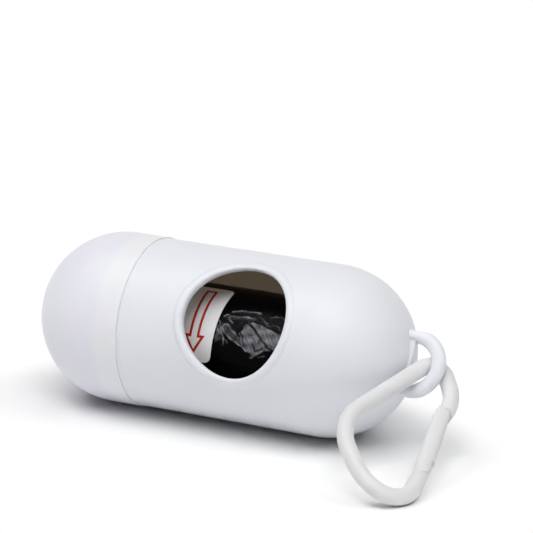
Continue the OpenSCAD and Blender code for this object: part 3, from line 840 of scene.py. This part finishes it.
def inset(outline, width):
    """The same outline moved inward by width at every side."""
    pts = np.array(outline)
    out = []
    for i in range(len(pts)):
        a, b, c = pts[i - 1], pts[i], pts[(i + 1) % len(pts)]
        d0, d1 = (b - a) / np.linalg.norm(b - a), (c - b) / np.linalg.norm(c - b)
        n0, n1 = np.array([d0[1], -d0[0]]), np.array([d1[1], -d1[0]])
        out.append(b + (n0 + n1) / (1 + n0 @ n1) * width)
    return [tuple(p) for p in out]


inner_line = inset(arrow, line_w)
printed = []
for i in range(len(arrow)):
    k = (i + 1) % len(arrow)
    side = [arrow[i], arrow[k], inner_line[k], inner_line[i]]
    printed.append(curved_sheet(side, ink_low, ink_high, cell=0.7))
arrow_print = build("printed_arrow", printed, red_ink("red_printing_ink"), weld=0.0001)
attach(arrow_print, "roll")

# ---------------------------------------------------------------- Snap clip frame
# Small snap clip moulded from acetal, a warmer white than the capsule: a round bar bent to a rounded
# triangle. One end carries a thin tongue for the gate's fork, the other a slanted nose with a lip.
clip_at, clip_turn, clip_dip, clip_roll = Vector((0.0, 0.38, -0.4)), -102.33, 8.48, -33.26
clip_mat = (Matrix.Translation(clip_at * mm) @ Matrix.Rotation(math.radians(clip_turn), 4, "Z")
            @ Matrix.Rotation(math.radians(clip_dip), 4, "Y")
            @ Matrix.Rotation(math.radians(clip_roll), 4, "X"))
clip_r, gate_half_w, gate_half_t, pin_setback, hinge_tail = 1.9, 1.95, 1.72, 1.9, 1.65
slope, reach = math.radians(27.0), 18.9
gate_dir = np.array([math.cos(slope), math.sin(slope)])
gate_out = np.array([-math.sin(slope), math.cos(slope)])
gate_zero = np.array([10.3, 13.5])
pivot = gate_zero - pin_setback * gate_dir
gate_mat = clip_mat @ Matrix.Translation(Vector((*pivot, 0)) * mm) @ Matrix.Rotation(slope, 4, "Z")
end_r = math.hypot(hinge_tail, gate_half_w)
seat_r = end_r + 0.05
slot_half, tongue_low, tongue_high, tongue_r, pin_r = 0.95, -0.85, 0.33, 1.25, 0.6
nose_lip, nose_run, nose_lean = 0.9, 4.6, math.tan(math.radians(33.0))
clip_plastic = moulded("moulded_acetal_white", "#e2e2e3", 0.4)


def bar_along_path(material):
    """Round bar along a line of straight sides with a bend at every inner corner."""
    group, given = node_group("bar_along_path", {"Bar radius": 0.0019, "Bend steps": 14.0, "Sides": 40.0})
    line = add(group, "GeometryNodeMeshToCurve", {}, Mesh=given.outputs["Geometry"])
    bend = add(group, "GeometryNodeInputNamedAttribute", {"data_type": "FLOAT", "Name": "bend"})
    filleted = add(group, "GeometryNodeFilletCurve", {"mode": "POLY", "Limit Radius": False},
                   Curve=line.outputs[0], Radius=bend.outputs["Attribute"], Count=given.outputs["Bend steps"])
    ring_line = add(group, "GeometryNodeCurvePrimitiveCircle", {}, Radius=given.outputs["Bar radius"],
                    Resolution=given.outputs["Sides"])
    bar = add(group, "GeometryNodeCurveToMesh", {"Fill Caps": True}, Curve=filleted.outputs[0],
              Profile_Curve=ring_line.outputs[0])
    return close_group(group, bar, material)


def solid(points, cells, name="cutter"):
    """A plain closed mesh object from points in millimetres."""
    mesh = bpy.data.meshes.new(name)
    mesh.from_pydata([tuple(np.asarray(p) * mm) for p in points], [], cells)
    bm = bmesh.new()
    bm.from_mesh(mesh)
    bmesh.ops.remove_doubles(bm, verts=bm.verts, dist=0.001 * mm)
    bmesh.ops.recalc_face_normals(bm, faces=bm.faces)
    bm.to_mesh(mesh)
    bm.free()
    thing = bpy.data.objects.new(name, mesh)
    bpy.context.scene.collection.objects.link(thing)
    return thing


def prism(outline, low, high):
    """A solid with that outline in the clip's plane, from low to high."""
    n = len(outline)
    corners = [(x, y, z) for z in (low, high) for x, y in outline]
    sides = [(k, (k + 1) % n, n + (k + 1) % n, n + k) for k in range(n)]
    return solid(corners, [tuple(range(n - 1, -1, -1)), tuple(range(n, 2 * n))] + sides)


def disc(r, steps=64):
    """Outline of a circle round the pivot."""
    around_pivot = [2 * math.pi * k / steps for k in range(steps)]
    return [(r * math.cos(a), r * math.sin(a)) for a in around_pivot]


def carve(piece, outline, low, high, way, place=None):
    """Cuts a prism out of a piece (DIFFERENCE), joins it on (UNION) or keeps what they share (INTERSECT)."""
    tool = prism(outline, low, high)
    if place is not None:
        tool.data.transform(place)
    step = piece.modifiers.new(way, "BOOLEAN")
    step.operation = way
    step.solver = "EXACT"
    step.object = tool
    settle(piece)
    bpy.data.objects.remove(tool)


def soften(piece, width):
    """Rounds the edges as a mould does, by a small bevel."""
    bm = bmesh.new()
    bm.from_mesh(piece.data)
    bmesh.ops.dissolve_limit(bm, angle_limit=math.radians(0.5), verts=bm.verts, edges=bm.edges)
    bm.to_mesh(piece.data)
    bm.free()
    step = piece.modifiers.new("soften", "BEVEL")
    step.width = width * mm
    step.segments = 3
    step.limit_method = "ANGLE"
    step.angle_limit = math.radians(42.0)
    settle(piece)


def in_place(piece, name, material, place):
    """The finished moulding, put in its place, from the piece it was carved from."""
    mesh = piece.data
    mesh.transform(place)
    bpy.data.objects.remove(piece)
    return finish_piece(name, mesh, material, 50.0)


def nose_line(gap, beside, bulk):
    """The gate's room in the plane, short of the nose's slant by gap and of its lip by beside."""
    lip_in = gate_half_w - nose_lip - beside
    edge_x, step_x = reach - gap, reach - nose_run - beside
    return [(0.0, -bulk), (edge_x + bulk * nose_lean, -bulk), (edge_x - lip_in * nose_lean, lip_in),
            (step_x, lip_in), (step_x, bulk), (0.0, bulk)]


collar_end = gate_zero - 2.9 * gate_dir + 0.8 * gate_out
nose_end = gate_zero + 13.5 * gate_dir
clip_line = [(*collar_end, 0.0), (0.7, 9.9, 10.8), (-5.8, 0.0, 3.3), (31.1, 0.0, 12.9), (38.1, 14.15, 11.8),
             (36.3, 25.2, 5.8), (*nose_end, 0.0)]  # x, y, bend radius
line_mesh = bpy.data.meshes.new("clip_line")
line_mesh.from_pydata([(x * mm, y * mm, 0) for x, y, _ in clip_line], [(k, k + 1) for k in range(6)], [])
attribute = line_mesh.attributes.new("bend", "FLOAT", "POINT")
attribute.data.foreach_set("value", [bend * mm for _, _, bend in clip_line])
bar = bpy.data.objects.new("clip_line", line_mesh)
bpy.context.scene.collection.objects.link(bar)
baked(bar, bar_along_path(clip_plastic), Bar_radius=(clip_r - 0.004) * mm, Bend_steps=14.0, Sides=40.0)
to_gate = clip_mat.inverted() @ gate_mat
# The outlines of the cuts are in mm from the pivot, along the shut gate and across it.
collar_cut = [(-4.4, 2.98), (-1.1, 2.12), (3.0, 2.12), (3.0, 7.0), (-4.4, 7.0)]
tongue_end = 1 - 2 * end_r
tongue_line = ([(tongue_r * math.sin(a), tongue_r * math.cos(a)) for a in np.linspace(0, math.pi, 25)]
               + [(tongue_end, -tongue_r), (tongue_end, tongue_r)])
for outline, low, high, way in ((nose_line(0.0, 0.0, 6.0), -6, 6, "DIFFERENCE"),
                                (disc(seat_r), -6, 6, "DIFFERENCE"),
                                (collar_cut, -6, 6, "DIFFERENCE"),
                                (tongue_line, tongue_low, tongue_high, "UNION"),
                                (disc(pin_r + 0.06, 32), -6, 6, "DIFFERENCE")):
    carve(bar, outline, low, high, way, to_gate)
soften(bar, 0.07)
clip_frame = in_place(bar, "clip_frame", clip_plastic, clip_mat)
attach(clip_frame, "clip")
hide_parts("carabiner_frame")

# ---------------------------------------------------------------- Gate
# The gate is a separate moulding of the same acetal: a slightly flattened bar with a fork that
# straddles the frame's tongue, turning on a steel pin. Its free end is slanted to meet the nose.
squareness, sides = 2.35, 64
section = []
for k in range(sides):
    y, z = math.cos(2 * math.pi * k / sides), math.sin(2 * math.pi * k / sides)
    scale = (abs(y) ** squareness + abs(z) ** squareness) ** (-1 / squareness)
    section.append((gate_half_w * y * scale, gate_half_t * z * scale))
# The bar is fuller towards its free end, to come level with the nose: place, times the thickness.
gate_line = [(-end_r, 1.0), (6.0, 1.0), (10.0, 1.03), (14.0, 1.08), (17.0, 1.11), (reach + end_r, 1.11)]
points, cells = strip([[(x, y, z * fuller) for y, z in section] for x, fuller in gate_line], wrap=True)
last = len(points) - 1
blank = solid(points, cells + [tuple(range(sides)), tuple(range(last, last - sides, -1))], "gate_blank")
hinge_end = [(-end_r * math.cos(a), end_r * math.sin(a)) for a in np.linspace(math.pi / 2, -math.pi / 2, 33)]
fork_end = tongue_r + 0.1
fork_slot = [(-6, -4), (fork_end, -4), (fork_end, 4), (-6, 4)]
for outline, low, high, way in ((nose_line(0.09, 0.03, 3.0) + hinge_end, -4, 4, "INTERSECT"),
                                (fork_slot, -slot_half, slot_half, "DIFFERENCE"),
                                (disc(pin_r + 0.01, 32), -4, gate_half_t - 0.4, "DIFFERENCE")):
    carve(blank, outline, low, high, way)
soften(blank, 0.08)
gate = in_place(blank, "clip_gate", clip_plastic, gate_mat)
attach(gate, "gate")
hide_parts("carabiner_gate")

# ---------------------------------------------------------------- Pin
# Drawn steel wire cut to length, its ends rounded by the cropping; pressed into the gate's fork.


def steel_wire(name, colour):
    """Drawn steel: metallic, with fine lines along the draw."""
    m = new_material(name)
    at = add(m, "ShaderNodeTexCoord")
    lines = add(m, "ShaderNodeTexNoise", {"Scale": 4000.0, "Detail": 2.0}, Vector=at.outputs["Object"])
    sheen = add(m, "ShaderNodeMapRange", {"To Min": 0.25, "To Max": 0.42}, Value=lines.outputs["Fac"])
    skin = add(m, "ShaderNodeBsdfPrincipled", {"Base Color": srgb(colour), "Metallic": 1.0},
               Roughness=sheen.outputs[0])
    add(m, "ShaderNodeOutputMaterial", Surface=skin.outputs[0])
    return m


pin_low, pin_high = -gate_half_t + 0.02, gate_half_t - 0.41
pin_line = [(pin_low, 0), (pin_low, 0.4), (pin_low + 0.06, 0.54), (pin_low + 0.2, pin_r),
            (pin_high - 0.2, pin_r), (pin_high - 0.06, 0.54), (pin_high, 0.4), (pin_high, 0)]
pin_turns = np.linspace(0, 2 * math.pi, 40, endpoint=False)
pin_rows = [[(r * math.cos(a), r * math.sin(a), z) for a in pin_turns] for z, r in pin_line]
pin = build("hinge_pin", [strip(pin_rows, wrap=True)], steel_wire("drawn_steel_wire", "#b8babd"))
pin.data.transform(gate_mat)
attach(pin, "gate")
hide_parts("gate_pin")

# ---------------------------------------------------------------- Spring
# Three quarters of a coil of spring wire round the pin, with a leg let into the gate that pushes
# it shut.
wire_r, coil_r, coil_z, leg_out = 0.18, 0.91, 0.64, 4.2
coil_turns = np.radians(np.linspace(90.0, 360.0, 60))
coil = [(coil_r * math.cos(a), coil_r * math.sin(a), coil_z) for a in coil_turns[::-1]]
wire = coil + [(x, coil_r, coil_z) for x in np.linspace(0.15, leg_out, 12)]
wire_rows = tube_rows(wire, [wire_r] * len(wire), (0, 0, 1), 16)
wire_ends = [np.repeat(np.array(wire[k])[None], 16, 0) for k in (0, -1)]
spring = build("gate_spring_wire", [strip([wire_ends[0]] + wire_rows + [wire_ends[1]], wrap=True)],
               steel_wire("spring_steel_wire", "#a9acb0"))
spring.data.transform(gate_mat)
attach(spring, "gate")
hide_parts("gate_spring")
